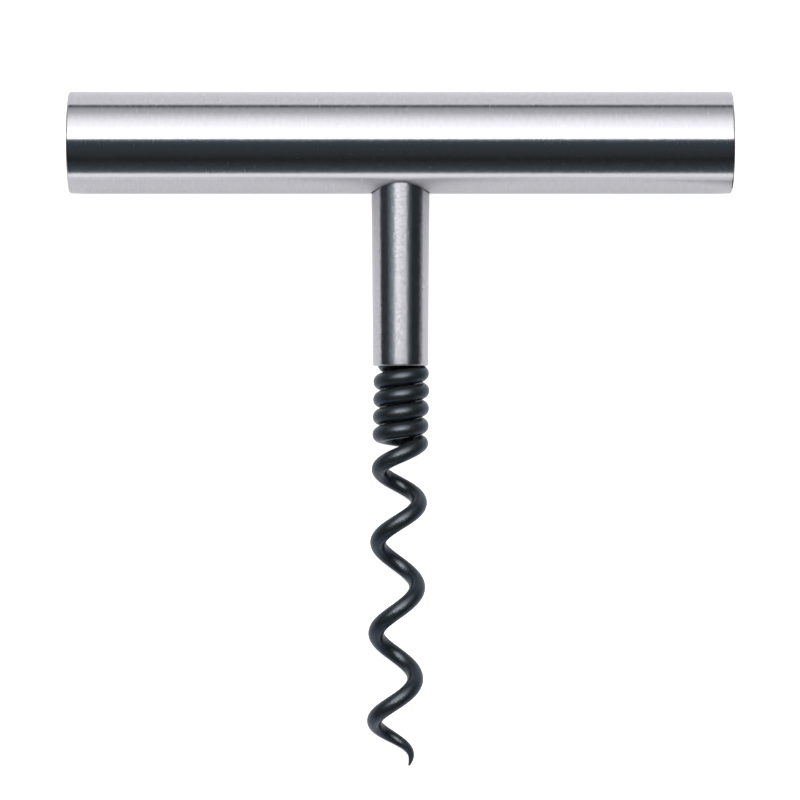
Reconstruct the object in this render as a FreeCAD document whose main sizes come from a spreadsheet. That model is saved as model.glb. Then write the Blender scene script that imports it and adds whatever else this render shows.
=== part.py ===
"""Corkscrew: a tubular steel T handle, a short steel shank and a black wire worm. Millimetres, +Z up.

It lies as it comes to rest on a table: the handle along X, the worm towards -Y and tipped a little down,
so that it rests on the handle and on the underside of the worm. The pieces are shaped about the middle
of the handle's axis, with the shank straight along -Y, and their placements lay them down.
"""
import FreeCAD, Part
import math
import os

import Sketcher
from FreeCAD import Placement, Rotation, Vector

SIZES = {
    # handle: a tube with a disc let into each end
    "handle_length": 116.5,
    "handle_diameter": 18.0,
    "handle_wall": 1.5,
    "end_chamfer": 0.35,
    "disc_thickness": 2.0,
    "disc_ledge": 0.5,
    # shank: a slightly tapered bar, coped at the top and bored at the mouth
    "shank_top_diameter": 10.2,
    "shank_mouth_diameter": 9.8,
    "shank_reach": 39.3,
    "shank_fit": 0.05,
    "mouth_chamfer": 0.25,
    "bore_relief": 0.4,
    # worm: one round wire whose turns are counted from the first one outside the shank
    "wire_diameter": 2.85,
    "coil_diameter": 9.9,
    "tail_diameter": 8.05,
    "tail_turns": 2.25,
    "tail_fit": 0.1,
    "tail_gap": 0.25,
    "neck_lead": 0.3,
    "neck_turns": 0.4,
    "first_turn_drop": 1.25,
    "close_turns": 4.0,
    "close_pitch": 3.09,
    "opening_turns": 0.1,
    "open_pitch": 9.0,
    "spreading_turns": 1.65,
    "wide_pitch": 16.1,
    "wide_turns": 1.25,
    "point_pitch": 10.6,
    "point_turns": 1.125,
    "taper_turns": 0.88,
    "hook_turns": 0.5,
    "hook_inset": 0.5,
    "unwound_turns": 0.3,
    "point_lag": 0.06,
    "point_diameter": 0.42,
    "worm_offset": 0.23,
    "worm_lean": 1.2,
}

# the wire's round section has this many sides, which keep within 0.03 mm of the circle
WIRE_SIDES = 14
ARCS_PER_TURN = 8
POINT_SECTIONS = 14
# how near in millimetres an edge lies to where it is looked for
NEAR = 1e-4
# places along the worm at which its rest on the table is looked for
REST_STEPS = 400
# a turn's share over which the wire's direction is taken
HEADING_STEP = 1e-4
# how far the swept wire's volume may be from its section times its length
SWEEP_TOLERANCE = 1e-3
# the least volume, in cubic millimetres, that a cut takes away where it meets its piece
LEAST_CUT = 1.0


def make_sheet(doc):
    """Put every driving size in the sheet, each cell under its own name."""
    sheet = doc.addObject("Spreadsheet::Sheet", "sizes")
    for row, (name, value) in enumerate(SIZES.items(), start=1):
        sheet.set(f"A{row}", name)
        sheet.set(f"B{row}", str(value))
        sheet.setAlias(f"B{row}", name)
    doc.recompute()
    return sheet


def new_body(doc, label):
    """An empty body for one piece, named as its file is."""
    body = doc.addObject("PartDesign::Body", label)
    body.Label = label
    return body


def origin_item(body, role):
    """One of a body's own origin planes or axes."""
    return next(item for item in body.Origin.OriginFeatures if item.Role == role)


def new_sketch(body, name, role):
    """An empty sketch on one of the body's origin planes."""
    sketch = body.newObject("Sketcher::SketchObject", name)
    sketch.AttachmentSupport = [(origin_item(body, role), "")]
    sketch.MapMode = "FlatFace"
    return sketch


def bind(sketch, constraint, formula):
    """Add a constraint with a size and keep that size equal to a formula of the sheet's cells."""
    index = sketch.addConstraint(constraint)
    sketch.setExpression(f"Constraints[{index}]", formula)


def hold_point(sketch, edge, kind, axis, formula):
    """Hold one coordinate of an edge's start at a formula's value, or on the sketch's axis where it is 0."""
    value = sketch.evalExpression(formula)
    if value == 0:
        sketch.addConstraint(Sketcher.Constraint("PointOnObject", edge, 1, axis))
    elif value > 0:
        bind(sketch, Sketcher.Constraint(kind, -1, 1, edge, 1, value), formula)
    else:
        bind(sketch, Sketcher.Constraint(kind, edge, 1, -1, 1, -value), f"-({formula})")


def draw_outline(sketch, corners):
    """Draw a closed outline of straight edges through corners, given as pairs of formulas."""
    points = [Vector(*(sketch.evalExpression(f) for f in corner), 0) for corner in corners]
    for start, end in zip(points, points[1:] + points[:1]):
        sketch.addGeometry(Part.LineSegment(start, end), False)
    for edge, (across, up) in enumerate(corners):
        following = (edge + 1) % len(corners)
        sketch.addConstraint(Sketcher.Constraint("Coincident", edge, 2, following, 1))
        hold_point(sketch, edge, "DistanceX", -2, across)
        hold_point(sketch, edge, "DistanceY", -1, up)


def draw_circle(sketch, formula):
    """Draw a circle about the sketch's origin with its radius from a formula."""
    radius = sketch.evalExpression(formula)
    sketch.addGeometry(Part.Circle(Vector(0, 0, 0), Vector(0, 0, 1), radius), False)
    sketch.addConstraint(Sketcher.Constraint("Coincident", 0, 3, -1, 1))
    bind(sketch, Sketcher.Constraint("Radius", 0, radius), formula)


def revolve(body, sketch, role):
    """Turn a sketch a full circle about one of the body's origin axes."""
    turned = body.newObject("PartDesign::Revolution", f"{body.Label}_turned")
    turned.Profile = sketch
    turned.ReferenceAxis = (origin_item(body, role), [""])
    turned.Angle = 360
    sketch.Visibility = False
    return turned


def chamfer(body, base, name, formula, wanted):
    """Chamfer the edges of base for which wanted is true, by the size that a formula gives."""
    body.Document.recompute()
    edges = [f"Edge{i}" for i, edge in enumerate(base.Shape.Edges, start=1) if wanted(edge)]
    broken = body.newObject("PartDesign::Chamfer", name)
    broken.Base = (base, edges)
    broken.setExpression("Size", formula)
    return broken


def is_rim(edge, axis, radius, place):
    """Whether an edge is a full circle of this radius, square to an axis and centred at this place on it."""
    if not isinstance(edge.Curve, Part.Circle) or len(edge.Vertexes) != 1:
        return False
    height = edge.Curve.Center.dot(axis)
    return math.isclose(edge.Curve.Radius, radius, abs_tol=NEAR) and math.isclose(height, place, abs_tol=NEAR)


def make_handle_tube(doc, sheet):
    """The handle's tube: a ledge in each end for its disc, and one hole underneath for the shank."""
    body = new_body(doc, "handle_tube")
    half = "sizes.handle_length / 2"
    ledge = f"{half} - sizes.disc_thickness"
    outer = "sizes.handle_diameter / 2"
    inner = f"{outer} - sizes.handle_wall"
    seat = f"{inner} + sizes.disc_ledge"
    profile = new_sketch(body, "tube_profile", "XY_Plane")
    right = [(half, outer), (half, seat), (ledge, seat), (ledge, inner)]
    left = [(f"-({across})", up) for across, up in reversed(right)]
    draw_outline(profile, right + left)
    turned = revolve(body, profile, "X_Axis")
    radius = sheet.handle_diameter / 2
    end = sheet.handle_length / 2
    along = Vector(1, 0, 0)
    broken = chamfer(
        body, turned, "end_chamfers", "sizes.end_chamfer",
        lambda edge: is_rim(edge, along, radius, end) or is_rim(edge, along, radius, -end),
    )
    hole = new_sketch(body, "shank_hole", "XZ_Plane")
    draw_circle(hole, "sizes.shank_top_diameter / 2 + sizes.shank_fit")
    pocket = body.newObject("PartDesign::Pocket", "shank_pocket")
    pocket.Profile = hole
    pocket.Reversed = True
    pocket.setExpression("Length", outer)
    doc.recompute()
    if broken.Shape.Volume - pocket.Shape.Volume < LEAST_CUT:
        raise RuntimeError("the hole for the shank misses the tube's wall")
    return body


def make_end_disc(doc, side, name):
    """A flat disc that lies on its ledge inside one end of the tube, flush with the end."""
    body = new_body(doc, name)
    end = "sizes.handle_length / 2"
    ledge = f"{end} - sizes.disc_thickness"
    radius = "sizes.handle_diameter / 2 - sizes.handle_wall + sizes.disc_ledge"
    sign = "" if side > 0 else "-"
    profile = new_sketch(body, f"{name}_profile", "XY_Plane")
    corners = [(ledge, "0"), (ledge, radius), (end, radius), (end, "0")]
    draw_outline(profile, [(f"{sign}({across})", up) for across, up in corners])
    revolve(body, profile, "X_Axis")
    return body


def bore_depth():
    """The formula of the depth that the worm's tail needs in the shank."""
    tail = "sizes.tail_turns * sizes.close_pitch - sizes.first_turn_drop"
    return f"{tail} + sizes.wire_diameter / 2 + sizes.tail_gap"


def make_shank(doc, sheet):
    """The shank: tapered below the handle, bored for the tail, and coped to the tube's far wall inside."""
    body = new_body(doc, "shank")
    seat = "sizes.handle_diameter / 2 - sizes.handle_wall"
    top = "sizes.shank_top_diameter / 2"
    mouth = "sizes.shank_mouth_diameter / 2"
    reach = "-sizes.shank_reach"
    bore = "sizes.tail_diameter / 2 + sizes.tail_fit"
    bottom = f"{reach} + {bore_depth()}"
    profile = new_sketch(body, "shank_profile", "XY_Plane")
    draw_outline(profile, [
        ("0", seat),
        (top, seat),
        (top, "-sizes.handle_diameter / 2"),
        (mouth, reach),
        (bore, reach),
        (bore, bottom),
        ("0", bottom),
    ])
    turned = revolve(body, profile, "Y_Axis")
    down = Vector(0, -1, 0)
    broken = chamfer(
        body, turned, "mouth_chamfer", "sizes.mouth_chamfer",
        lambda edge: is_rim(edge, down, sheet.shank_mouth_diameter / 2, sheet.shank_reach),
    )
    relieved = chamfer(
        body, broken, "bore_relief", "sizes.bore_relief",
        lambda edge: is_rim(edge, down, sheet.tail_diameter / 2 + sheet.tail_fit, sheet.shank_reach),
    )
    cope_shank(body, relieved)
    return body


def cope_shank(body, base):
    """Cut the shank's top to the round of the tube's inner wall."""
    radius = "(sizes.handle_diameter / 2 - sizes.handle_wall)"
    side = "sizes.shank_top_diameter / 2"
    sketch = new_sketch(body, "cope_profile", "YZ_Plane")
    reach = sketch.evalExpression(radius)
    half = sketch.evalExpression(side)
    lean = math.asin(half / reach)
    rise = Vector(reach * math.cos(lean), half, 0)
    fall = Vector(rise.x, -half, 0)
    arc = Part.ArcOfCircle(Part.Circle(Vector(0, 0, 0), Vector(0, 0, 1), reach), -lean, lean)
    sketch.addGeometry(arc, False)
    corners = [rise, Vector(reach, half, 0), Vector(reach, -half, 0), fall]
    for start, end in zip(corners, corners[1:]):
        sketch.addGeometry(Part.LineSegment(start, end), False)
    sketch.addConstraint(Sketcher.Constraint("Coincident", 0, 3, -1, 1))
    for first, second in (((0, 2), (1, 1)), ((1, 2), (2, 1)), ((2, 2), (3, 1)), ((3, 2), (0, 1))):
        sketch.addConstraint(Sketcher.Constraint("Coincident", *first, *second))
    bind(sketch, Sketcher.Constraint("Radius", 0, reach), radius)
    hold_point(sketch, 1, "DistanceY", -1, side)
    hold_point(sketch, 2, "DistanceX", -2, radius)
    hold_point(sketch, 2, "DistanceY", -1, side)
    hold_point(sketch, 3, "DistanceX", -2, radius)
    hold_point(sketch, 3, "DistanceY", -1, f"-({side})")
    hold_point(sketch, 0, "DistanceY", -1, f"-({side})")
    pocket = body.newObject("PartDesign::Pocket", "cope")
    pocket.Profile = sketch
    pocket.Midplane = True
    pocket.setExpression("Length", "2 * sizes.shank_top_diameter")
    body.Document.recompute()
    if base.Shape.Volume - pocket.Shape.Volume < LEAST_CUT:
        raise RuntimeError("the cope misses the shank's top")


def ease(share):
    """A smooth step from 0 to 1 as share goes from 0 to 1."""
    held = min(max(share, 0.0), 1.0)
    return held * held * (3 - 2 * held)


class WormPath:
    """The middle line of the worm's wire, by turns from the first one outside the shank."""

    def __init__(self, sheet):
        self.sheet = sheet
        self.start = -sheet.tail_turns
        self.pitches = [(self.start, sheet.close_pitch), (sheet.close_turns, sheet.close_pitch)]
        for turns, pitch in (
            (sheet.opening_turns, sheet.open_pitch),
            (sheet.spreading_turns, sheet.wide_pitch),
            (sheet.wide_turns, sheet.wide_pitch),
            (sheet.point_turns, sheet.point_pitch),
        ):
            self.pitches.append((self.pitches[-1][0] + turns, pitch))
        self.end = self.pitches[-1][0]
        self.taper_start = self.end - sheet.taper_turns

    def drop_at(self, turn):
        """How far below the shank's mouth the wire is at a turn, from the pitch added up to there."""
        drop = self.sheet.first_turn_drop
        if turn <= self.pitches[1][0]:
            return drop + turn * self.sheet.close_pitch
        drop += self.pitches[1][0] * self.sheet.close_pitch
        for (start, pitch), (end, following) in zip(self.pitches[1:], self.pitches[2:]):
            share = min((turn - start) / (end - start), 1.0)
            reached = pitch + (following - pitch) * share
            drop += (pitch + reached) / 2 * (end - start) * share
            if turn <= end:
                break
        return drop

    def centre_at(self, turn):
        """The middle of the wire at a turn: right at a whole turn, front a quarter turn later."""
        sheet = self.sheet
        tail_radius = (sheet.tail_diameter - sheet.wire_diameter) / 2
        coil_radius = (sheet.coil_diameter - sheet.wire_diameter) / 2
        opened = ease((turn + sheet.neck_lead) / sheet.neck_turns)
        hooked = ease((turn - self.end + sheet.hook_turns) / sheet.hook_turns)
        radius = tail_radius + (coil_radius - tail_radius) * opened - sheet.hook_inset * hooked
        drop = self.drop_at(turn)
        aside = opened * (sheet.worm_offset - math.tan(math.radians(sheet.worm_lean)) * drop)
        unwound = max((turn - self.end + sheet.unwound_turns) / sheet.unwound_turns, 0.0)
        angle = 2 * math.pi * (turn - sheet.point_lag * unwound**2)
        return Vector(aside + radius * math.cos(angle), -(sheet.shank_reach + drop), radius * math.sin(angle))

    def heading_at(self, turn):
        """The wire's direction at a turn."""
        return (self.centre_at(turn + HEADING_STEP) - self.centre_at(turn - HEADING_STEP)).normalize()

    def diameter_at(self, turn):
        """The wire's diameter at a turn: whole as far as the taper, and blunt at the point."""
        share = max((turn - self.taper_start) / self.sheet.taper_turns, 0.0)
        return self.sheet.wire_diameter + (self.sheet.point_diameter - self.sheet.wire_diameter) * share**2


def tangent_arc(start, corner, end):
    """The arc that touches both straight legs of a corner, where the legs are equally long."""
    inward = (start - corner).normalize()
    outward = (end - corner).normalize()
    half = inward.getAngle(outward) / 2
    leg = (start - corner).Length
    centre = corner + (inward + outward).normalize() * (leg / math.cos(half))
    middle = centre + (corner - centre).normalize() * (leg * math.tan(half))
    return Part.Arc(start, middle, end).toShape()


def arc_pair(start, start_heading, end, end_heading):
    """Two arcs from start to end that meet each other and both headings without a kink."""
    gap = end - start
    bend = 2 * (1 - start_heading.dot(end_heading))
    slope = 2 * gap.dot(start_heading + end_heading)
    leg = (math.sqrt(slope**2 + 4 * bend * gap.dot(gap)) - slope) / (2 * bend)
    first_corner = start + start_heading * leg
    second_corner = end - end_heading * leg
    joint = (first_corner + second_corner) / 2
    return [tangent_arc(start, first_corner, joint), tangent_arc(joint, second_corner, end)]


def wire_section(centre, heading, diameter):
    """The wire's section as a many-sided outline of the same area as the circle."""
    corner_angle = 2 * math.pi / WIRE_SIDES
    radius = diameter / 2 * math.sqrt(corner_angle / math.sin(corner_angle))
    turned = Rotation(Vector(0, 0, 1), heading)
    angles = [corner_angle * i for i in range(WIRE_SIDES + 1)]
    return [centre + turned.multVec(Vector(math.cos(a), math.sin(a), 0) * radius) for a in angles]


def sweep_wire(path):
    """The wire at its whole diameter, swept from the tail's end to where the point's taper starts."""
    spans = math.ceil((path.taper_start - path.start) * ARCS_PER_TURN / 2)
    turns = [path.start + (path.taper_start - path.start) * i / spans for i in range(spans + 1)]
    edges = []
    for start, end in zip(turns, turns[1:]):
        edges += arc_pair(
            path.centre_at(start), path.heading_at(start), path.centre_at(end), path.heading_at(end)
        )
    spine = Part.Wire(edges)
    section = wire_section(path.centre_at(path.start), path.heading_at(path.start), path.sheet.wire_diameter)
    sweep = Part.BRepOffsetAPI.MakePipeShell(spine)
    sweep.setFrenetMode(False)
    sweep.add(Part.makePolygon(section), False, False)
    sweep.build()
    end_corners = [vertex.Point for vertex in sweep.lastShape().Wires[0].OrderedVertexes]
    sweep.makeSolid()
    swept = sweep.shape()
    expected = math.pi * path.sheet.wire_diameter**2 / 4 * spine.Length
    if not math.isclose(swept.Volume, expected, rel_tol=SWEEP_TOLERANCE):
        raise RuntimeError("the swept wire's volume isn't its section times its length")
    return swept, end_corners


def loft_point(path, corners):
    """The wire's taper to its point, lofted from the sweep's last section through ever smaller ones."""
    turn = path.taper_start
    centre, heading = path.centre_at(turn), path.heading_at(turn)
    sections = [corners]
    for step in range(1, POINT_SECTIONS + 1):
        following = path.taper_start + path.sheet.taper_turns * step / POINT_SECTIONS
        scale = path.diameter_at(following) / path.diameter_at(turn)
        new_centre, new_heading = path.centre_at(following), path.heading_at(following)
        swing = Rotation(heading, new_heading)
        corners = [new_centre + swing.multVec(corner - centre) * scale for corner in corners]
        sections.append(corners)
        turn, centre, heading = following, new_centre, new_heading
    outlines = [Part.makePolygon(section + section[:1]) for section in sections]
    return Part.makeLoft(outlines, True, True)


def make_worm(doc, path):
    """The worm: one wire from its tight tail in the shank, through close and open turns, to the point."""
    swept, corners = sweep_wire(path)
    point = loft_point(path, corners)
    worm = doc.addObject("Part::Feature", "worm")
    worm.Label = "worm"
    worm.Shape = swept.fuse(point)
    return worm


def rest_tilt(path):
    """The angle in degrees that the handle and the worm's lowest turn tip the corkscrew to on a table."""
    handle_radius = path.sheet.handle_diameter / 2
    tilts = []
    for step in range(REST_STEPS + 1):
        turn = path.end * step / REST_STEPS
        centre = path.centre_at(turn)
        reach = math.hypot(centre.y, centre.z)
        spare = handle_radius - path.diameter_at(turn) / 2
        tilts.append(math.asin(spare / reach) - math.atan2(-centre.z, -centre.y))
    return math.degrees(min(tilts))


def lay_down(pieces, sheet, tilt):
    """Place every piece as the corkscrew lies, with the origin under the middle of its outer box."""
    turned = Rotation(Vector(1, 0, 0), tilt)
    height = sheet.handle_diameter / 2
    laid = [piece.Shape.transformed(Placement(Vector(0, 0, height), turned).Matrix) for piece in pieces]
    box = Part.makeCompound(laid).optimalBoundingBox(False, False)
    place = Placement(Vector(0, -box.Center.y, height), turned)
    for piece in pieces:
        piece.Placement = place


def check(doc, pieces):
    """Stop where an object has failed or a piece isn't one valid solid."""
    for item in doc.Objects:
        if "Invalid" in item.State or "Error" in item.State:
            raise RuntimeError(f"{item.Label} failed: {item.State}")
    for piece in pieces:
        shape = piece.Shape
        if shape.isNull() or not shape.isValid() or len(shape.Solids) != 1:
            raise RuntimeError(f"{piece.Label} isn't one valid solid")


def main():
    """Build the document, lay the pieces down, check them and write one file for each."""
    doc = FreeCAD.newDocument("corkscrew")
    sheet = make_sheet(doc)
    path = WormPath(sheet)
    pieces = [
        make_handle_tube(doc, sheet),
        make_end_disc(doc, -1, "left_end_disc"),
        make_end_disc(doc, 1, "right_end_disc"),
        make_shank(doc, sheet),
        make_worm(doc, path),
    ]
    doc.recompute()
    tilt = rest_tilt(path)
    lay_down(pieces, sheet, tilt)
    doc.recompute()
    check(doc, pieces)
    os.makedirs("parts", exist_ok=True)
    for piece in pieces:
        piece.Shape.exportStep(f"parts/{piece.Label}.step")
        box = piece.Shape.optimalBoundingBox(False, False)
        print(piece.Label, round(piece.Shape.Volume, 1), box)
    print(f"tilt {tilt:.3f} degrees, turns {path.end:.2f}, point {path.drop_at(path.end):.2f} below the mouth")


main()
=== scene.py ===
"""The corkscrew as it lies in a pale studio, seen from straight above its own plane.

Every size is in metres. The pieces are shaped about the middle of the handle's axis, with the shank along
-Y and the camera's side along +Z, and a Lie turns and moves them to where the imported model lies.
"""
import logging
import math
from dataclasses import dataclass
from enum import Enum
from typing import Callable, Sequence

import bmesh
import bpy
from mathutils import Matrix, Vector


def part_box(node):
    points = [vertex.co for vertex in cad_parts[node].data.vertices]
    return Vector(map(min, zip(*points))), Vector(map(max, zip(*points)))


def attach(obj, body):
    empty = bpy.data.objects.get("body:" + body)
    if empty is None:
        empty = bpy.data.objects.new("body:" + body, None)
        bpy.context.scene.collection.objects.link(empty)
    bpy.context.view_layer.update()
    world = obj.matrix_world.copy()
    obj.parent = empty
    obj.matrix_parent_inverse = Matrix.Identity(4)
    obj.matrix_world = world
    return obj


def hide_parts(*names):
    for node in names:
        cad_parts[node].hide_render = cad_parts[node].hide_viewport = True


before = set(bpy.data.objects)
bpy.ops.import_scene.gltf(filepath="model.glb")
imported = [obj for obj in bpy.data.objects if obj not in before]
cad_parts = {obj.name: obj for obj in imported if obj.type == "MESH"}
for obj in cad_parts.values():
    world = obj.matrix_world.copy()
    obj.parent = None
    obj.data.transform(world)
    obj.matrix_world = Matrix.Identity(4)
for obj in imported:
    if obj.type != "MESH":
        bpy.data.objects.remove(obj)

LOG = logging.getLogger("corkscrew")
MM = 0.001

# how far a worked-out place may be off, in metres
SLACK = 1e-6

Point = tuple[float, float]
Span = tuple[float, float]
Colour = tuple[float, float, float]
NodeMaker = Callable[..., bpy.types.Node]


class Slot(Enum):
    """The record's material slots."""

    HANDLE = "handle_steel"
    DISC = "disc_steel"
    SHANK = "shank_steel"
    WIRE = "coated_wire"


class Grain(Enum):
    """Which way a turned steel piece's fine grooves run."""

    ROUND_X = "round the X axis"
    ROUND_Y = "round the Y axis"
    FACE_X = "in circles on a face square to X"


@dataclass(frozen=True)
class Lie:
    """How the corkscrew lies on the table: tipped about the handle, resting on handle and worm.

    Attributes:
        tilt: The angle in radians that the worm is tipped down by.
        shift: How far along +Y the handle's axis lies from the origin.
        height: The height of the handle's axis over the table.
    """

    tilt: float
    shift: float
    height: float

    @property
    def matrix(self) -> Matrix:
        """The move from the pieces' own axes to where they lie."""
        return Matrix.Translation((0.0, self.shift, self.height)) @ Matrix.Rotation(self.tilt, 4, "X")


def ease(share: float) -> float:
    """A smooth step.

    Args:
        share: How far along the step is, held between 0 and 1.

    Returns:
        The eased value, from 0 to 1.
    """
    held = min(max(share, 0.0), 1.0)
    return held * held * (3 - 2 * held)


def rounding(centre: Point, radius: float, start: float, end: float, steps: int) -> list[Point]:
    """Points along a rounded corner of a profile.

    Args:
        centre: The arc's centre.
        radius: The arc's radius.
        start: The first point's angle in degrees.
        end: The last point's angle in degrees.
        steps: How many straight steps the arc has.

    Returns:
        The points, both ends included.
    """
    angles = [math.radians(start + (end - start) * i / steps) for i in range(steps + 1)]
    return [(centre[0] + radius * math.cos(a), centre[1] + radius * math.sin(a)) for a in angles]


def lathe(profile: Sequence[Point], sides: int) -> bmesh.types.BMesh:
    """Turn a closed profile about the X axis.

    Args:
        profile: Pairs of place along X and radius, round the section; a radius of 0 lies on the axis.
        sides: How many steps the full turn has.

    Returns:
        The turned mesh, its faces pointing outwards.
    """
    mesh = bmesh.new()
    rings = []
    for along, radius in profile:
        if radius == 0:
            rings.append([mesh.verts.new((along, 0.0, 0.0))] * sides)
            continue
        angles = [2 * math.pi * i / sides for i in range(sides)]
        rings.append([mesh.verts.new((along, radius * math.cos(a), radius * math.sin(a))) for a in angles])
    for ring, following in zip(rings, rings[1:] + rings[:1]):
        for i in range(sides):
            j = (i + 1) % sides
            corners_round = [ring[i], ring[j], following[j], following[i]]
            distinct = list(dict.fromkeys(corners_round))
            if len(distinct) > 2:
                mesh.faces.new(distinct)
    bmesh.ops.recalc_face_normals(mesh, faces=mesh.faces)
    return mesh


def point_down(shape: bmesh.types.BMesh) -> None:
    """Turn a shape that was made along +X so that it points along -Y, as the shank does.

    Args:
        shape: The shape.
    """
    bmesh.ops.transform(shape, matrix=Matrix.Rotation(-math.pi / 2, 4, "Z"), verts=shape.verts)


def to_mesh(shape: bmesh.types.BMesh, name: str) -> bpy.types.Mesh:
    """Turn a bmesh into a mesh with smooth faces and free it.

    Args:
        shape: The bmesh.
        name: The mesh's name.

    Returns:
        The mesh.
    """
    mesh = bpy.data.meshes.new(name)
    shape.to_mesh(mesh)
    shape.free()
    mesh.shade_smooth()
    return mesh


def link(name: str, data: bpy.types.ID) -> bpy.types.Object:
    """Make an object of a mesh, curve, lamp or camera and put it in the scene.

    Args:
        name: The object's name.
        data: Its data.

    Returns:
        The new object.
    """
    piece = bpy.data.objects.new(name, data)
    bpy.context.scene.collection.objects.link(piece)
    return piece


def evaluated_mesh(source: bpy.types.Object) -> bpy.types.Mesh:
    """The mesh that an object's modifiers give.

    Args:
        source: The object.

    Returns:
        A new mesh, free of the modifiers.
    """
    graph = bpy.context.evaluated_depsgraph_get()
    return bpy.data.meshes.new_from_object(source.evaluated_get(graph))


def dress(piece: bpy.types.Object, lie: Lie, material: bpy.types.Material) -> None:
    """Lay a piece down, give it its finish and let it ride on the body.

    Args:
        piece: The piece, still in its own axes.
        lie: Where the corkscrew lies.
        material: The finish.
    """
    piece.data.transform(lie.matrix)
    piece.data.materials.clear()
    piece.data.materials.append(material)
    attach(piece, "root")


def new_nodes(tree: bpy.types.NodeTree) -> NodeMaker:
    """A short way to add nodes to a tree.

    Args:
        tree: The node tree.

    Returns:
        A function of a node type, the values of its inputs by name or number, and its settings.
    """

    def add(kind: str, inputs: dict[str | int, object] | None = None, **settings: object) -> bpy.types.Node:
        """Add one node.

        Args:
            kind: The node's type.
            inputs: Its inputs by name or number, each a socket to link or a plain value.
            settings: The node's own settings by name.

        Returns:
            The node.
        """
        node = tree.nodes.new(kind)
        for key, value in settings.items():
            setattr(node, key, value)
        for key, value in (inputs or {}).items():
            if isinstance(value, bpy.types.NodeSocket):
                tree.links.new(value, node.inputs[key])
            else:
                node.inputs[key].default_value = value
        return node

    return add


def new_material(name: str) -> tuple[bpy.types.Material, NodeMaker]:
    """Make a material without any nodes.

    Args:
        name: The material's name.

    Returns:
        The material, and the function that adds nodes to it.
    """
    material = bpy.data.materials.new(name)
    material.use_nodes = True
    material.node_tree.nodes.clear()
    return material, new_nodes(material.node_tree)


def blend(add: NodeMaker, share: bpy.types.NodeSocket, first: Colour, second: Colour) -> bpy.types.NodeSocket:
    """Blend between two colours.

    Args:
        add: Adds a node to the tree.
        share: The socket that goes from 0, for the first colour, to 1, for the second.
        first: The first colour.
        second: The second colour.

    Returns:
        The socket that holds the blended colour.
    """
    mix = add("ShaderNodeMix", {0: share, 6: (*first, 1.0), 7: (*second, 1.0)}, data_type="RGBA")
    return mix.outputs[2]


def times(colour: Colour, factor: float) -> Colour:
    """A colour made darker or brighter.

    Args:
        colour: The colour.
        factor: What it is multiplied by.

    Returns:
        The new colour.
    """
    return (colour[0] * factor, colour[1] * factor, colour[2] * factor)


# how finely the grain's broad and short noises run, against its fine one
BROAD_NOISE = (0.4, 1.2, 1.2)
SHORT_NOISE = (1.2, 3.0, 3.0)
# the spans of a noise over which roughness and colour change
ROUGH_SPAN = (0.3, 0.7)
COLOUR_SPAN = (0.35, 0.65)
# leaves what lies across the handle's axis
ACROSS_X = (0.0, 1.0, 1.0)


def grain_group() -> bpy.types.NodeTree:
    """The fine turned grain that every steel piece shares.

    Its input Place holds the point in metres, with the grooves' spacing along its X, and Axis the direction
    across the grooves. Depth is the grooves' height in metres, and Fuzz how far short scratches lean the
    surface along the grooves. It puts out a normal, and a mask for colour and roughness.

    Returns:
        The node group.
    """
    group = bpy.data.node_groups.new("turned_grain", "ShaderNodeTree")
    face = group.interface
    face.new_socket("Place", in_out="INPUT", socket_type="NodeSocketVector")
    face.new_socket("Axis", in_out="INPUT", socket_type="NodeSocketVector")
    for name in ("Grooves per metre", "Depth", "Fuzz"):
        face.new_socket(name, in_out="INPUT", socket_type="NodeSocketFloat")
    face.new_socket("Normal", in_out="OUTPUT", socket_type="NodeSocketVector")
    face.new_socket("Mask", in_out="OUTPUT", socket_type="NodeSocketFloat")
    add = new_nodes(group)
    source = add("NodeGroupInput").outputs
    place = add(
        "ShaderNodeVectorMath", {0: source["Place"], "Scale": source["Grooves per metre"]}, operation="SCALE"
    ).outputs[0]
    fine = add("ShaderNodeTexNoise", {"Vector": place, "Scale": 1.0, "Detail": 3.0, "Roughness": 0.65})
    broad_place = add("ShaderNodeVectorMath", {0: place, 1: BROAD_NOISE}, operation="MULTIPLY")
    broad = add("ShaderNodeTexNoise", {"Vector": broad_place.outputs[0], "Scale": 1.0, "Detail": 2.0})
    short_place = add("ShaderNodeVectorMath", {0: place, 1: SHORT_NOISE}, operation="MULTIPLY")
    short = add("ShaderNodeTexNoise", {"Vector": short_place.outputs[0], "Scale": 1.0, "Detail": 2.0})
    centred = add("ShaderNodeMath", {0: short.outputs[0], 1: 0.5}, operation="SUBTRACT")
    lean = add("ShaderNodeMath", {0: centred.outputs[0], 1: source["Fuzz"]}, operation="MULTIPLY")
    upright = add("ShaderNodeNewGeometry").outputs["Normal"]
    along = add("ShaderNodeVectorMath", {0: source["Axis"], 1: upright}, operation="CROSS_PRODUCT")
    shift = add("ShaderNodeVectorMath", {0: along.outputs[0], "Scale": lean.outputs[0]}, operation="SCALE")
    leaned = add("ShaderNodeVectorMath", {0: upright, 1: shift.outputs[0]}, operation="ADD")
    scratched = add("ShaderNodeVectorMath", {0: leaned.outputs[0]}, operation="NORMALIZE")
    bump = add("ShaderNodeBump", {
        "Strength": 1.0,
        "Distance": source["Depth"],
        "Height": fine.outputs[0],
        "Normal": scratched.outputs[0],
    })
    halved = add("ShaderNodeMath", {0: fine.outputs[0], 1: 0.5}, operation="MULTIPLY")
    mask = add(
        "ShaderNodeMath", {0: broad.outputs[0], 1: 0.5, 2: halved.outputs[0]}, operation="MULTIPLY_ADD"
    )
    add("NodeGroupOutput", {"Normal": bump.outputs[0], "Mask": mask.outputs[0]})
    return group


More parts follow.
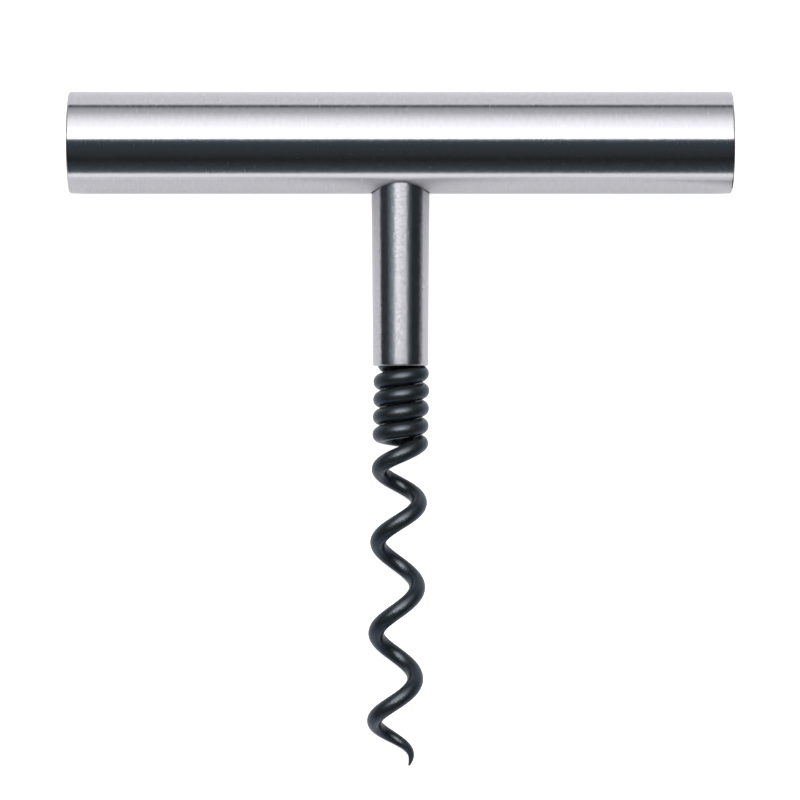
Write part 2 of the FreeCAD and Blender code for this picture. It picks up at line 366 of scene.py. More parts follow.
@dataclass(frozen=True)
class TurnedSteel:
    """Satin steel with fine turned grooves, which spread reflections across themselves.

    Attributes:
        name: The material's name.
        grain: Which way the grooves run.
        lie: Where the corkscrew lies.
        colour: The metal's reflected colour.
        rough: Roughness of the surface.
        vary: The share by which the roughness goes up and down from groove to groove.
        spread: How much further reflections spread across the grooves than along them.
        grooves: Grooves per metre.
        streak: How many times longer than wide a groove is.
        depth: The grooves' height.
        mottle: The share by which the colour goes up and down from groove to groove.
        fuzz: How far short scratches lean the surface along the grooves.
    """

    name: str
    grain: Grain
    lie: Lie
    colour: Colour = (0.56, 0.55, 0.59)
    rough: float = 0.25
    vary: float = 0.12
    spread: float = 1.0
    grooves: float = 6500.0
    streak: float = 10.0
    depth: float = 0.004 * MM
    mottle: float = 0.07
    fuzz: float = 0.03

    def build(self, group: bpy.types.NodeTree) -> bpy.types.Material:
        """Make the material.

        Args:
            group: The shared grain group.

        Returns:
            The material.
        """
        material, add = new_material(self.name)
        place = add("ShaderNodeTexCoord").outputs["Object"]
        own = add("ShaderNodeMapping", {
            "Vector": place,
            "Location": self.lie.matrix.inverted().translation,
            "Rotation": (-self.lie.tilt, 0.0, 0.0),
        }, vector_type="POINT").outputs[0]
        axis = self.axis(add, place)
        grain = add("ShaderNodeGroup", {
            "Place": self.groove_place(add, own),
            "Axis": axis,
            "Grooves per metre": self.grooves,
            "Depth": self.depth,
            "Fuzz": self.fuzz,
        }, node_tree=group).outputs
        rough = add("ShaderNodeMapRange", {
            0: grain["Mask"],
            1: ROUGH_SPAN[0],
            2: ROUGH_SPAN[1],
            3: self.rough * (1 - self.vary),
            4: self.rough * (1 + self.vary),
        })
        shade = add("ShaderNodeMapRange", {0: grain["Mask"], 1: COLOUR_SPAN[0], 2: COLOUR_SPAN[1]})
        dull, bright = times(self.colour, 1 - self.mottle), times(self.colour, 1 + self.mottle)
        shader = add("ShaderNodeBsdfPrincipled", {
            "Base Color": blend(add, shade.outputs[0], dull, bright),
            "Roughness": rough.outputs[0],
            "Metallic": 1.0,
            "Anisotropic": self.spread,
            "Tangent": axis,
            "Normal": grain["Normal"],
        })
        add("ShaderNodeOutputMaterial", {0: shader.outputs[0]})
        return material

    def axis(self, add: NodeMaker, place: bpy.types.NodeSocket) -> bpy.types.NodeSocket:
        """The direction across the grooves, in the row's frame.

        Args:
            add: Adds a node to the material.
            place: The point in the row's frame.

        Returns:
            The socket that holds it.
        """
        if self.grain is Grain.FACE_X:
            middle = (0.0, self.lie.shift, self.lie.height)
            outwards = add("ShaderNodeVectorMath", {0: place, 1: middle}, operation="SUBTRACT").outputs[0]
            flat = add("ShaderNodeVectorMath", {0: outwards, 1: ACROSS_X}, operation="MULTIPLY").outputs[0]
            return add("ShaderNodeVectorMath", {0: flat}, operation="NORMALIZE").outputs[0]
        straight = Vector((1.0, 0.0, 0.0))
        if self.grain is Grain.ROUND_Y:
            straight = self.lie.matrix.to_3x3() @ Vector((0.0, 1.0, 0.0))
        return add("ShaderNodeCombineXYZ", {0: straight.x, 1: straight.y, 2: straight.z}).outputs[0]

    def groove_place(self, add: NodeMaker, own: bpy.types.NodeSocket) -> bpy.types.NodeSocket:
        """The point with the grooves' spacing along X and the rest drawn out by the streak.

        Args:
            add: Adds a node to the material.
            own: The point in the pieces' own axes.

        Returns:
            The socket that holds it.
        """
        parts = add("ShaderNodeSeparateXYZ", {0: own})
        across, first, second = parts.outputs
        if self.grain is Grain.ROUND_Y:
            across, first = first, across
        if self.grain is Grain.FACE_X:
            flat = add("ShaderNodeVectorMath", {0: own, 1: ACROSS_X}, operation="MULTIPLY")
            across = add("ShaderNodeVectorMath", {0: flat.outputs[0]}, operation="LENGTH").outputs["Value"]
            first = parts.outputs["Y"]
        slim = 1 / self.streak
        first, second = (
            add("ShaderNodeMath", {0: part, 1: slim}, operation="MULTIPLY").outputs[0]
            for part in (first, second)
        )
        return add("ShaderNodeCombineXYZ", {0: across, 1: first, 2: second}).outputs[0]


@dataclass(frozen=True)
class CoatedWire:
    """Black satin coat over drawn wire, slightly uneven.

    Attributes:
        name: The material's name.
        colour: The coat's colour.
        rough: Its roughness.
        index: Its index of refraction, high because the coat is hard and smooth.
        face_on: The tint of its reflections where it faces the eye.
        rim: The tint of its reflections where it turns away.
        turning: The span of Facing over which the one tint becomes the other.
        ripple: The strength of its unevenness.
        height: The unevenness's height.
        slow: Slow waves per metre.
        fine: Fine waves per metre.
        slow_share: How much the slow waves count.
        fine_share: How much the fine waves count.
        rough_vary: The factors between which the slow waves change the roughness.
        shade_vary: The factors between which the fine waves change the colour.
    """

    name: str = "black_coat"
    colour: Colour = (0.019, 0.0224, 0.0228)
    rough: float = 0.212
    index: float = 2.07
    face_on: Colour = (0.83, 0.9, 1.0)
    rim: Colour = (0.05, 0.12, 0.28)
    turning: Span = (0.04, 0.25)
    ripple: float = 0.8
    height: float = 0.07 * MM
    slow: float = 1300.0
    fine: float = 5200.0
    slow_share: float = 0.35
    fine_share: float = 0.75
    rough_vary: Span = (0.8, 1.25)
    shade_vary: Span = (0.8, 1.2)

    def build(self) -> bpy.types.Material:
        """Make the material.

        Returns:
            The material.
        """
        material, add = new_material(self.name)
        place = add("ShaderNodeTexCoord").outputs["Object"]
        slow = add("ShaderNodeTexNoise", {"Vector": place, "Scale": self.slow, "Detail": 2.0}).outputs[0]
        fine = add("ShaderNodeTexNoise", {"Vector": place, "Scale": self.fine, "Detail": 1.0}).outputs[0]
        low = add("ShaderNodeMath", {0: slow, 1: self.slow_share}, operation="MULTIPLY")
        waves = add(
            "ShaderNodeMath", {0: fine, 1: self.fine_share, 2: low.outputs[0]}, operation="MULTIPLY_ADD"
        )
        bump = add("ShaderNodeBump", {
            "Strength": self.ripple,
            "Distance": self.height,
            "Height": waves.outputs[0],
        })
        rough = add("ShaderNodeMapRange", {
            0: slow,
            1: ROUGH_SPAN[0],
            2: ROUGH_SPAN[1],
            3: self.rough * self.rough_vary[0],
            4: self.rough * self.rough_vary[1],
        })
        facing = add("ShaderNodeLayerWeight", {"Blend": 0.5}).outputs["Facing"]
        away = add("ShaderNodeMapRange", {0: facing, 1: self.turning[0], 2: self.turning[1]})
        dull, bright = (times(self.colour, factor) for factor in self.shade_vary)
        shader = add("ShaderNodeBsdfPrincipled", {
            "Base Color": blend(add, fine, dull, bright),
            "Roughness": rough.outputs[0],
            "IOR": self.index,
            "Specular Tint": blend(add, away.outputs[0], self.face_on, self.rim),
            "Normal": bump.outputs[0],
        })
        add("ShaderNodeOutputMaterial", {0: shader.outputs[0]})
        return material


@dataclass(frozen=True)
class FloorWhite:
    """A floor that is white to the camera and in reflections, and shaded a little by the corkscrew; right of
    the shank, reflections show a painted dark patch instead.

    Attributes:
        name: The material's name.
        glow: Its own brightness to the camera.
        pale: How pale its matt surface is to the camera.
        mirrored: How pale its matt surface is in reflections.
        near: Two places along Y, each with its own brightness in reflections.
        far: The same, for what is added to that beyond the worm's point.
        painted_dark_reflection: Where the painted dark reflection beside the shank starts to the right, and
            its lower and upper edge along +Y: a patch of the floor that is dark in reflections only.
        painted_reflection_colour: The painted dark reflection's colour, which only reflections show.
    """

    name: str = "floor_white"
    glow: float = 0.88
    pale: float = 0.92
    mirrored: float = 0.46
    near: tuple[Point, Point] = ((-0.1, 0.5), (0.15, 0.56))
    far: tuple[Point, Point] = ((-0.05, 0.0), (-0.065, 0.17))
    # painted dark reflection: a patch of floor, right of the shank, that shows dark in reflections only
    painted_dark_reflection: tuple[float, float, float] = (0.064, -0.025, 0.041)
    painted_reflection_colour: Colour = (0.045, 0.056, 0.066)

    def build(self) -> bpy.types.Material:
        """Make the material.

        Returns:
            The material.
        """
        material, add = new_material(self.name)
        path = add("ShaderNodeLightPath").outputs
        glossy = path["Is Glossy Ray"]
        place = add("ShaderNodeSeparateXYZ", {0: add("ShaderNodeTexCoord").outputs["Object"]}).outputs
        rise, beyond = (
            add("ShaderNodeMapRange", {0: place["Y"], 1: low[0], 2: high[0], 3: low[1], 4: high[1]})
            for low, high in (self.near, self.far)
        )
        level = add("ShaderNodeMath", {0: rise.outputs[0], 1: beyond.outputs[0]}, operation="ADD")
        seen = add(
            "ShaderNodeMath", {0: path["Is Camera Ray"], 1: path["Is Transmission Ray"]}, operation="MAXIMUM"
        )
        shown = add("ShaderNodeMath", {0: seen.outputs[0], 1: self.glow}, operation="MULTIPLY")
        strength = add(
            "ShaderNodeMath", {0: glossy, 1: level.outputs[0], 2: shown.outputs[0]}, operation="MULTIPLY_ADD"
        )
        glow = add("ShaderNodeEmission", {"Color": (1.0, 1.0, 1.0, 1.0), "Strength": strength.outputs[0]})
        white, grey = (self.pale, self.pale, self.pale), (self.mirrored, self.mirrored, self.mirrored)
        matt = add("ShaderNodeBsdfDiffuse", {"Color": blend(add, glossy, white, grey)})
        plain = add("ShaderNodeAddShader", {0: glow.outputs[0], 1: matt.outputs[0]})
        # painted reflection: a dark glow that reflections show in place of the floor, in the patch right of
        # the shank
        dark = add("ShaderNodeEmission", {"Color": (*self.painted_reflection_colour, 1.0), "Strength": 1.0})
        total = add("ShaderNodeMixShader", {
            0: self.on_painted_reflection(add, place, glossy),
            1: plain.outputs[0],
            2: dark.outputs[0],
        })
        add("ShaderNodeOutputMaterial", {0: total.outputs[0]})
        return material

    def on_painted_reflection(
        self, add: NodeMaker, place: bpy.types.bpy_prop_collection, glossy: bpy.types.NodeSocket
    ) -> bpy.types.NodeSocket:
        """Tell whether a reflection shows the painted dark reflection.

        Args:
            add: Adds a node to the material.
            place: The outputs that hold the point's X and Y.
            glossy: The socket that is 1 in a reflection.

        Returns:
            The socket that is 1 on the painted dark patch and 0 elsewhere.
        """
        # the painted dark reflection's patch: right of its left edge, between its lower and upper edge, in
        # reflections only
        left, lower, upper = self.painted_dark_reflection
        right = add("ShaderNodeMath", {0: place["X"], 1: left}, operation="GREATER_THAN")
        above = add("ShaderNodeMath", {0: place["Y"], 1: lower}, operation="GREATER_THAN")
        below = add("ShaderNodeMath", {0: place["Y"], 1: upper}, operation="LESS_THAN")
        beside = add("ShaderNodeMath", {0: above.outputs[0], 1: below.outputs[0]}, operation="MULTIPLY")
        inside = add("ShaderNodeMath", {0: right.outputs[0], 1: beside.outputs[0]}, operation="MULTIPLY")
        return add("ShaderNodeMath", {0: inside.outputs[0], 1: glossy}, operation="MULTIPLY").outputs[0]


@dataclass
class Handle:
    """The handle: a steel tube with a flat disc let into each end.

    Attributes:
        length: The tube's length.
        radius: Its outer radius.
        wall: Its wall.
        edge: The rounding of its ends.
        disc: The discs' thickness.
        disc_edge: The discs' broken edge, which shows as a thin ring.
        ledge: How far the discs' seats are cut into the wall.
        hole: The radius of the hole for the shank.
        sides: Steps round the tube.
        rows: Steps along the tube.
        edge_steps: Steps of the rounding of its ends.
        hole_sides: Steps round the hole.
        disc_sides: Steps round the discs.
        disc_rings: Steps from the discs' middle to their edge.
        disc_edge_steps: Steps of the discs' broken edge.
        sharp: Edges of the tube bent by more than this, in degrees, stay sharp.
        disc_sharp: The same for the discs.
        near: How close to its radius a point belongs to the round outside.
    """

    length: float
    radius: float
    wall: float = 1.5 * MM
    edge: float = 0.35 * MM
    disc: float = 2.0 * MM
    disc_edge: float = 0.08 * MM
    ledge: float = 0.5 * MM
    hole: float = 5.35 * MM
    sides: int = 192
    rows: int = 60
    edge_steps: int = 6
    hole_sides: int = 96
    disc_sides: int = 128
    disc_rings: int = 8
    disc_edge_steps: int = 3
    sharp: float = 35.0
    disc_sharp: float = 30.0
    near: float = 0.02 * MM

    @property
    def inner(self) -> float:
        """The radius of the tube's inner wall."""
        return self.radius - self.wall

    def build(
        self, lie: Lie, steel: bpy.types.Material, disc_steel: bpy.types.Material
    ) -> list[bpy.types.Object]:
        """Make the tube and its two discs and dress them.

        Args:
            lie: Where the corkscrew lies.
            steel: The tube's finish.
            disc_steel: The discs' finish.

        Returns:
            The tube, the left disc and the right disc.
        """
        tube = self.tube()
        dress(tube, lie, steel)
        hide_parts("handle_tube")
        pieces = [tube]
        for side, node in ((-1, "left_end_disc"), (1, "right_end_disc")):
            disc = self.end_disc(side, node.replace("_disc", "_plate"))
            dress(disc, lie, disc_steel)
            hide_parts(node)
            pieces.append(disc)
        return pieces

    def tube(self) -> bpy.types.Object:
        """The tube with its rounded ends, the discs' ledges and the hole for the shank.

        Returns:
            The tube's object, still in its own axes.
        """
        half = self.length / 2
        seat = self.inner + self.ledge
        span = self.length - 2 * self.edge
        steps = [half - self.edge - span * i / self.rows for i in range(1, self.rows)]
        right = rounding((half - self.edge, self.radius - self.edge), self.edge, 0, 90, self.edge_steps)
        left = [(-x, r) for x, r in reversed(right)]
        outer = right + [(x, self.radius) for x in steps] + left
        inside = [(-half, seat), (self.disc - half, seat), (self.disc - half, self.inner)]
        inside += [(half - self.disc, self.inner), (half - self.disc, seat), (half, seat)]
        tube = link("handle_skin", to_mesh(lathe(outer + inside, self.sides), "handle_skin"))
        cutter = link("hole_cutter", to_mesh(self.hole_plug(), "hole_cutter"))
        cut = tube.modifiers.new("hole", "BOOLEAN")
        cut.operation = "DIFFERENCE"
        cut.solver = "EXACT"
        cut.object = cutter
        tube.data = evaluated_mesh(tube)
        tube.modifiers.clear()
        bpy.data.objects.remove(cutter)
        self.true_normals(tube.data)
        return tube

    def hole_plug(self) -> bmesh.types.BMesh:
        """The plug that cuts the hole in the tube's underside.

        Returns:
            The plug, from the tube's axis to well below it.
        """
        end = 2 * self.radius
        plug = lathe([(0.0, 0.0), (0.0, self.hole), (end, self.hole), (end, 0.0)], self.hole_sides)
        point_down(plug)
        return plug

    def true_normals(self, mesh: bpy.types.Mesh) -> None:
        """Give the round outside its exact normals, so that the cut leaves no trace in its reflections.

        Args:
            mesh: The cut tube's mesh.
        """
        mesh.shade_smooth()
        mesh.set_sharp_from_angle(angle=math.radians(self.sharp))
        normals = [tuple(normal.vector) for normal in mesh.corner_normals]
        limit = self.length / 2 - self.edge + SLACK
        for face in mesh.polygons:
            points = [mesh.vertices[i].co for i in face.vertices]
            outside = all(abs(math.hypot(p.y, p.z) - self.radius) < self.near for p in points)
            if not outside or any(abs(p.x) > limit for p in points):
                continue
            for loop, point in zip(face.loop_indices, points):
                normals[loop] = tuple(Vector((0.0, point.y, point.z)).normalized())
        mesh.normals_split_custom_set(normals)

    def end_disc(self, side: int, name: str) -> bpy.types.Object:
        """One end's disc, with a fine broken edge that shows as a thin ring.

        Args:
            side: 1 for the right end and -1 for the left.
            name: The piece's name.

        Returns:
            The disc's object, still in its own axes.
        """
        face = self.length / 2
        radius = self.inner + self.ledge
        back = face - self.disc
        bevel = self.disc_edge
        rim = rounding((face - bevel, radius - bevel), bevel, 0, 90, self.disc_edge_steps)
        face_rings = [(face, radius * i / self.disc_rings) for i in range(1, self.disc_rings)]
        profile = [(face, 0.0)] + face_rings + rim + [(back, radius), (back, 0.0)]
        shape = lathe([(side * x, r) for x, r in profile], self.disc_sides)
        disc = link(name, to_mesh(shape, name))
        disc.data.set_sharp_from_angle(angle=math.radians(self.disc_sharp))
        return disc


@dataclass
class Shank:
    """The shank: a tapered bar, coped at the top, bored and relieved at the mouth.

    Attributes:
        seat: The radius of the tube's inner wall that its top is coped to.
        top: Its radius in the handle.
        mouth: Its radius at the mouth.
        cover: How far from the handle's axis its taper starts.
        reach: How far from the handle's axis its mouth is.
        edge: The rounding of the mouth's outer edge.
        relief: The chamfer of the bore's edge.
        bore: The bore's radius.
        depth: The bore's depth.
        sides: Steps round it.
        rows: Steps along the taper.
        cap_rings: Steps from the middle of its top to the side.
        edge_steps: Steps of the rounding.
        sharp: Edges bent by more than this, in degrees, stay sharp.
    """

    seat: float
    top: float = 5.1 * MM
    mouth: float = 4.9 * MM
    cover: float = 9.0 * MM
    reach: float = 39.3 * MM
    edge: float = 0.3 * MM
    relief: float = 0.4 * MM
    bore: float = 4.125 * MM
    depth: float = 7.38 * MM
    sides: int = 160
    rows: int = 24
    cap_rings: int = 10
    edge_steps: int = 8
    sharp: float = 30.0

    def build(self, lie: Lie, steel: bpy.types.Material) -> list[bpy.types.Object]:
        """Make the shank and dress it.

        Args:
            lie: Where the corkscrew lies.
            steel: Its finish.

        Returns:
            The shank alone.
        """
        bar = self.bar()
        dress(bar, lie, steel)
        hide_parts("shank")
        return [bar]

    def bar(self) -> bpy.types.Object:
        """The turned bar with its bore and its coped top.

        Returns:
            The shank's object, still in its own axes.
        """
        rim_start = self.reach - self.edge
        shares = [i / self.rows for i in range(self.rows + 1)]
        side = [
            (self.cover + (rim_start - self.cover) * share, self.top + (self.mouth - self.top) * share)
            for share in shares
        ]
        rim = rounding((rim_start, self.mouth - self.edge), self.edge, 90, 0, self.edge_steps)
        lip = [(self.reach, self.bore + self.relief), (self.reach - self.relief, self.bore)]
        floor = [(self.reach - self.depth, self.bore), (self.reach - self.depth, 0.0)]
        cap = [(-self.seat, self.top * i / self.cap_rings) for i in range(self.cap_rings + 1)]
        shape = lathe(cap + side + rim[1:] + lip + floor, self.sides)
        for vertex in shape.verts:
            if vertex.co.x < 0:
                vertex.co.x = -math.sqrt(self.seat**2 - vertex.co.z**2)
        point_down(shape)
        bar = link("shank_skin", to_mesh(shape, "shank_skin"))
        bar.data.set_sharp_from_angle(angle=math.radians(self.sharp))
        return bar


@dataclass
class Worm:
    """The worm: one wire whose turns are counted from the first one outside the shank.

    Attributes:
        reach: How far from the handle's axis the shank's mouth is.
        wire: The wire's radius.
        coil: The radius of the coil's middle line.
        tail: The radius of the tail's middle line, inside the shank.
        tail_turns: Turns of the tail.
        neck_lead: How many turns before the first outer one the neck starts to widen.
        neck_turns: Turns of the neck.
        drop: How far below the mouth the first outer turn is.
        close_turns: How many turns are wound close.
        close_pitch: Their pitch.
        steps: Pairs of turns and the pitch that they lead to, after the close turns.
        taper_turns: Turns over which the point tapers.
        hook_turns: Turns over which the point bends in.
        hook: How far the point bends in.
        unwound_turns: Turns over which the point falls behind its spiral.
        point_lag: How many turns it falls behind.
        point: The point's radius.
        tip: The angles in degrees at which the point's round tip has its rings.
        aside: How far right of the shank's axis the worm's axis starts.
        lean: The worm axis's lean to the left in radians.
        per_turn: Steps for each turn.
        sides: Steps round the wire.
        sharp: Edges bent by more than this, in degrees, stay sharp.
    """

    reach: float
    wire: float = 1.425 * MM
    coil: float = 3.525 * MM
    tail: float = 2.6 * MM
    tail_turns: float = 2.25
    neck_lead: float = 0.3
    neck_turns: float = 0.4
    drop: float = 1.25 * MM
    close_turns: float = 4.0
    close_pitch: float = 3.09 * MM
    steps: tuple[tuple[float, float], ...] = (
        (0.1, 9.0 * MM),
        (1.65, 16.1 * MM),
        (1.25, 16.1 * MM),
        (1.125, 10.6 * MM),
    )
    taper_turns: float = 0.88
    hook_turns: float = 0.5
    hook: float = 0.5 * MM
    unwound_turns: float = 0.3
    point_lag: float = 0.06
    point: float = 0.21 * MM
    tip: tuple[float, ...] = (20.0, 40.0, 60.0, 75.0, 86.0)
    aside: float = 0.23 * MM
    lean: float = math.radians(1.2)
    per_turn: int = 72
    sides: int = 40
    sharp: float = 60.0

    @property
    def end(self) -> float:
        """The turn at which the wire ends."""
        return self.close_turns + sum(turns for turns, _ in self.steps)

    def pitches(self) -> list[tuple[float, float]]:
        """The turns at which the pitch changes its course.

        Returns:
            Pairs of turn and pitch, from where the close turns end.
        """
        knots = [(self.close_turns, self.close_pitch)]
        for turns, pitch in self.steps:
            knots.append((knots[-1][0] + turns, pitch))
        return knots

    def drop_at(self, turn: float) -> float:
        """How far below the mouth the wire is.

        Args:
            turn: The turn, counted from the first outer one.

        Returns:
            The drop, from the pitch added up to there.
        """
        if turn <= self.close_turns:
            return self.drop + turn * self.close_pitch
        drop = self.drop + self.close_turns * self.close_pitch
        knots = self.pitches()
        for (start, pitch), (stop, following) in zip(knots, knots[1:]):
            share = min((turn - start) / (stop - start), 1.0)
            reached = pitch + (following - pitch) * share
            drop += (pitch + reached) / 2 * (stop - start) * share
            if turn <= stop:
                break
        return drop

    def centre_at(self, turn: float) -> Vector:
        """The middle of the wire.

        Args:
            turn: The turn: right at a whole one, front a quarter turn later.

        Returns:
            The point in the pieces' own axes.
        """
        opened = ease((turn + self.neck_lead) / self.neck_turns)
        hooked = ease((turn - self.end + self.hook_turns) / self.hook_turns)
        radius = self.tail + (self.coil - self.tail) * opened - self.hook * hooked
        drop = self.drop_at(turn)
        aside = opened * (self.aside - math.tan(self.lean) * drop)
        unwound = max((turn - self.end + self.unwound_turns) / self.unwound_turns, 0.0)
        angle = 2 * math.pi * (turn - self.point_lag * unwound**2)
        return Vector((aside + radius * math.cos(angle), -(self.reach + drop), radius * math.sin(angle)))

    def radius_at(self, turn: float) -> float:
        """The wire's radius.

        Args:
            turn: The turn.

        Returns:
            The radius, whole as far as the taper.
        """
        share = max((turn - self.end + self.taper_turns) / self.taper_turns, 0.0)
        return self.wire + (self.point - self.wire) * share**2

    def build(self, lie: Lie, coat: bpy.types.Material) -> list[bpy.types.Object]:
        """Make the worm and dress it.

        Args:
            lie: Where the corkscrew lies.
            coat: The wire's coat.

        Returns:
            The worm alone.
        """
        wire = self.strand(coat)
        dress(wire, lie, coat)
        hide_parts("worm")
        return [wire]

    def strand(self, coat: bpy.types.Material) -> bpy.types.Object:
        """The wire, a circle swept along its middle line, with a round tip.

        Args:
            coat: The wire's coat.

        Returns:
            The worm's object, still in its own axes.
        """
        count = math.ceil((self.end + self.tail_turns) * self.per_turn)
        turns = [-self.tail_turns + (self.end + self.tail_turns) * i / count for i in range(count + 1)]
        points = [self.centre_at(turn) for turn in turns]
        radii = [self.radius_at(turn) for turn in turns]
        heading = (points[-1] - points[-2]).normalized()
        for angle in self.tip:
            points.append(points[count] + heading * self.point * math.sin(math.radians(angle)))
            radii.append(self.point * math.cos(math.radians(angle)))
        curve = bpy.data.curves.new("worm_line", "CURVE")
        curve.dimensions = "3D"
        spline = curve.splines.new("POLY")
        spline.points.add(len(points) - 1)
        for target, point, radius in zip(spline.points, points, radii):
            target.co = (*point, 1.0)
            target.radius = radius
        line = link("worm_line", curve)
        sweep = line.modifiers.new("sweep", "NODES")
        sweep.node_group = wire_sweep_tree(coat)
        identifiers = {item.name: item.identifier for item in sweep.node_group.interface.items_tree}
        sweep[identifiers["Sides"]] = self.sides
        mesh = evaluated_mesh(line)
        bpy.data.objects.remove(line)
        mesh.name = "worm_skin"
        mesh.shade_smooth()
        mesh.set_sharp_from_angle(angle=math.radians(self.sharp))
        return link("worm_skin", mesh)


def wire_sweep_tree(material: bpy.types.Material) -> bpy.types.NodeTree:
    """The node tree that sweeps a circle along a curve whose points hold the wire's radius.

    Args:
        material: The wire's material.

    Returns:
        The tree, with the number of sides as its input.
    """
    tree = bpy.data.node_groups.new("wire_sweep", "GeometryNodeTree")
    face = tree.interface
    face.new_socket("Line", in_out="INPUT", socket_type="NodeSocketGeometry")
    face.new_socket("Sides", in_out="INPUT", socket_type="NodeSocketInt")
    face.new_socket("Wire", in_out="OUTPUT", socket_type="NodeSocketGeometry")
    add = new_nodes(tree)
    source = add("NodeGroupInput").outputs
    circle = add("GeometryNodeCurvePrimitiveCircle", {"Resolution": source["Sides"], "Radius": 1.0})
    swept = add("GeometryNodeCurveToMesh", {
        "Curve": source["Line"],
        "Profile Curve": circle.outputs["Curve"],
        "Scale": add("GeometryNodeInputRadius").outputs[0],
        "Fill Caps": True,
    })
    real = add("GeometryNodeRealizeInstances", {0: swept.outputs[0]})
    dressed = add("GeometryNodeSetMaterial", {"Geometry": real.outputs[0], "Material": material})
    add("NodeGroupOutput", {"Wire": dressed.outputs[0]})
    return tree


# the brightness that a full ramp colour stands for
BAND_SCALE = 6.0


def tone(level: float, cool: float = 0.0) -> Colour:
    """A brightness of the surroundings as a ramp colour.

    Args:
        level: The brightness, 1 for a plain white sheet.
        cool: How much more blue than red it holds.

    Returns:
        The colour, scaled to the ramp.
    """
    return (level / BAND_SCALE, level * (1 + cool * 0.6) / BAND_SCALE, level * (1 + cool) / BAND_SCALE)


# the surroundings by angle in degrees from the camera's side towards the handle's back
BANDS: tuple[tuple[float, Colour], ...] = (
    (-180.0, tone(0.9)),
    (-93.0, tone(0.9)),
    (-91.0, tone(1.35)),
    (-78.5, tone(1.35)),
    (-76.5, tone(0.1, 0.5)),
    (-68.0, tone(0.065, 0.5)),
    (-57.5, tone(0.048, 0.5)),
    (-43.0, tone(0.026, 0.2)),
    (-34.0, tone(0.046, 0.2)),
    (-20.0, tone(0.06, 0.4)),
    (-7.0, tone(0.062, 0.6)),
    (0.0, tone(0.085, 0.6)),
    (4.2, tone(0.13, 0.5)),
    (5.8, tone(3.4)),
    (15.0, tone(3.15)),
    (20.0, tone(2.5)),
    (28.0, tone(2.2)),
    (35.0, tone(1.98)),
    (46.0, tone(1.71)),
    (57.0, tone(1.26)),
    (67.0, tone(0.8)),
    (78.0, tone(0.55, 0.08)),
    (82.7, tone(0.42, 0.15)),
    (84.0, tone(0.008, 0.5)),
    (91.7, tone(0.008, 0.5)),
    (92.3, tone(1.6)),
    (110.0, tone(1.6)),
)

# how much of that is left by place from left (-1) to right (1), and how cool it is
WINDOW: tuple[tuple[float, float, float], ...] = (
    (-1.0, 0.02, 0.4),
    (-0.87, 0.028, 0.4),
    (-0.79, 0.045, 0.4),
    (-0.68, 0.15, 0.3),
    (-0.57, 0.27, 0.2),
    (-0.44, 0.39, 0.1),
    (-0.35, 1.05, 0.0),
    (-0.17, 1.24, 0.0),
    (0.0, 1.07, 0.0),
    (0.24, 0.92, 0.0),
    (0.36, 0.85, 0.0),
    (0.48, 0.22, 0.1),
    (0.6, 0.09, 0.3),
    (0.73, 0.026, 0.4),
    (1.0, 0.012, 0.4),
)


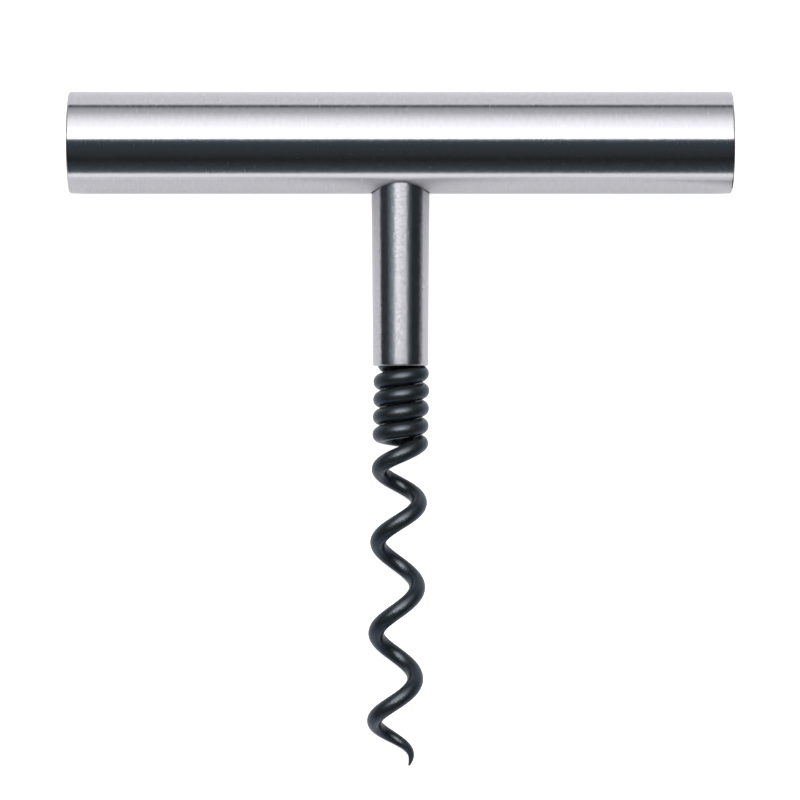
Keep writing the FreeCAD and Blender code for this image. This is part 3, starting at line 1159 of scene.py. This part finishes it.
@dataclass
class Studio:
    """The pale floor, the light and the camera.

    Attributes:
        lie: Where the corkscrew lies.
        aim: How far down the shank from the handle's axis the camera looks.
        aside: How far left of the shank's axis it looks.
        distance: How far the camera is from the corkscrew's plane.
        width: The width that the picture covers at that plane.
        floor_size: The floor's side.
        white: The brightness of what the camera sees past the floor.
        fill: The fill lamp's power in watts.
        fill_size: The fill lamp's side.
        fill_back: How far back from the origin the fill lamp hangs.
        fill_height: How high the fill lamp hangs.
    """

    lie: Lie
    aim: float = 45.3 * MM
    aside: float = 0.09 * MM
    distance: float = 740 * MM
    width: float = 140.76 * MM
    floor_size: float = 6.0
    white: float = 1.2
    fill: float = 8.0
    fill_size: float = 1.2
    fill_back: float = 0.8
    fill_height: float = 1.1

    def build(self) -> None:
        """Set the floor, the surroundings, the lamp and the camera."""
        self.floor()
        self.surroundings()
        self.lamp()
        self.camera()

    def floor(self) -> None:
        """Lay the floor."""
        shape = bmesh.new()
        bmesh.ops.create_grid(shape, x_segments=1, y_segments=1, size=self.floor_size / 2)
        mesh = bpy.data.meshes.new("floor")
        shape.to_mesh(mesh)
        shape.free()
        mesh.materials.append(FloorWhite().build())
        floor = link("floor", mesh)

    def surroundings(self) -> None:
        """Light the scene with a wide softbox above, a dark band round the camera and a pale rim."""
        world = bpy.data.worlds.new("studio")
        bpy.context.scene.world = world
        world.use_nodes = True
        world.node_tree.nodes.clear()
        add = new_nodes(world.node_tree)
        look = add("ShaderNodeTexCoord").outputs["Generated"]
        backwards = (0.0, math.cos(self.lie.tilt), math.sin(self.lie.tilt))
        upwards = (0.0, -math.sin(self.lie.tilt), math.cos(self.lie.tilt))
        back, up = (
            add("ShaderNodeVectorMath", {0: look, 1: direction}, operation="DOT_PRODUCT").outputs["Value"]
            for direction in (backwards, upwards)
        )
        angle = add("ShaderNodeMath", {0: back, 1: up}, operation="ARCTAN2")
        turn = add("ShaderNodeMapRange", {0: angle.outputs[0], 1: -math.pi, 2: math.pi})
        bands = add("ShaderNodeValToRGB", {0: turn.outputs[0]})
        self.fill_ramp(bands.color_ramp, [(degrees / 360 + 0.5, colour) for degrees, colour in BANDS])
        side = add("ShaderNodeSeparateXYZ", {0: look}).outputs["X"]
        across = add("ShaderNodeMapRange", {0: side, 1: -1.0, 2: 1.0})
        window = add("ShaderNodeValToRGB", {0: across.outputs[0]})
        self.fill_ramp(window.color_ramp, [
            (place / 2 + 0.5, times(tone(level, cool), BAND_SCALE)) for place, level, cool in WINDOW
        ])
        lit = add("ShaderNodeMix", {0: 1.0, 6: bands.outputs[0], 7: window.outputs[0]}, data_type="RGBA")
        lit.blend_type = "MULTIPLY"
        around = add("ShaderNodeBackground", {"Color": lit.outputs[2], "Strength": BAND_SCALE})
        white = add("ShaderNodeBackground", {"Color": (1.0, 1.0, 1.0, 1.0), "Strength": self.white})
        seen = add("ShaderNodeLightPath").outputs["Is Camera Ray"]
        shown = add("ShaderNodeMixShader", {0: seen, 1: around.outputs[0], 2: white.outputs[0]})
        add("ShaderNodeOutputWorld", {0: shown.outputs[0]})

    @staticmethod
    def fill_ramp(ramp: bpy.types.ColorRamp, stops: Sequence[tuple[float, Colour]]) -> None:
        """Set a colour ramp's stops.

        Args:
            ramp: The ramp.
            stops: Pairs of place, from 0 to 1, and colour.
        """
        while len(ramp.elements) < len(stops):
            ramp.elements.new(0.5)
        for element, (place, colour) in zip(ramp.elements, stops):
            element.position = place
            element.color = (*colour, 1.0)

    def lamp(self) -> None:
        """Hang a wide soft lamp over the floor that brings plain surfaces to a plain level."""
        data = bpy.data.lights.new("fill", "AREA")
        data.shape = "SQUARE"
        data.size = self.fill_size
        data.energy = self.fill
        lamp = link("fill", data)
        lamp.location = (0.0, self.fill_back, self.fill_height)
        lamp.rotation_euler = (-math.atan2(self.fill_back, self.fill_height), 0.0, 0.0)
        lamp.visible_glossy = False
        lamp.visible_camera = False

    def camera(self) -> None:
        """Put the camera square over the corkscrew's plane, with the handle at the top of the picture."""
        data = bpy.data.cameras.new("camera")
        data.sensor_fit = "HORIZONTAL"
        data.sensor_width = 36.0
        data.lens = data.sensor_width * self.distance / self.width
        data.clip_start = 0.01
        data.clip_end = 20.0
        camera = link("camera", data)
        camera.matrix_world = self.lie.matrix @ Matrix.Translation((-self.aside, -self.aim, self.distance))
        bpy.context.scene.camera = camera


def main() -> None:
    """Build the corkscrew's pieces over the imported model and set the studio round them."""
    logging.basicConfig(level=logging.INFO, format="%(name)s: %(message)s")
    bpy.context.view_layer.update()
    low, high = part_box("handle_tube")
    lie = Lie(tilt=math.radians(2.464), shift=(low.y + high.y) / 2, height=(low.z + high.z) / 2)
    group = grain_group()
    handle_steel = TurnedSteel("handle_satin", Grain.ROUND_X, lie).build(group)
    bar_steel = TurnedSteel(
        "shank_satin", Grain.ROUND_Y, lie, colour=(0.55, 0.541, 0.58), vary=0.1,
        grooves=7600.0, streak=5.0, depth=0.003 * MM, mottle=0.13, fuzz=0.34,
    ).build(group)
    disc_steel = TurnedSteel("disc_satin", Grain.FACE_X, lie, grooves=5000.0, fuzz=0.05).build(group)
    coat = CoatedWire().build()

    handle = Handle(length=high.x - low.x, radius=(high.z - low.z) / 2)
    pieces = handle.build(lie, handle_steel, disc_steel)
    shank = Shank(seat=handle.inner)
    pieces += shank.build(lie, bar_steel)
    pieces += Worm(reach=shank.reach).build(lie, coat)
    for piece in pieces:
        LOG.info("%s: %d faces, rides on root", piece.name, len(piece.data.polygons))

    bpy.context.scene.view_settings.view_transform = "Standard"
    Studio(lie).build()


if __name__ == "__main__":
    main()
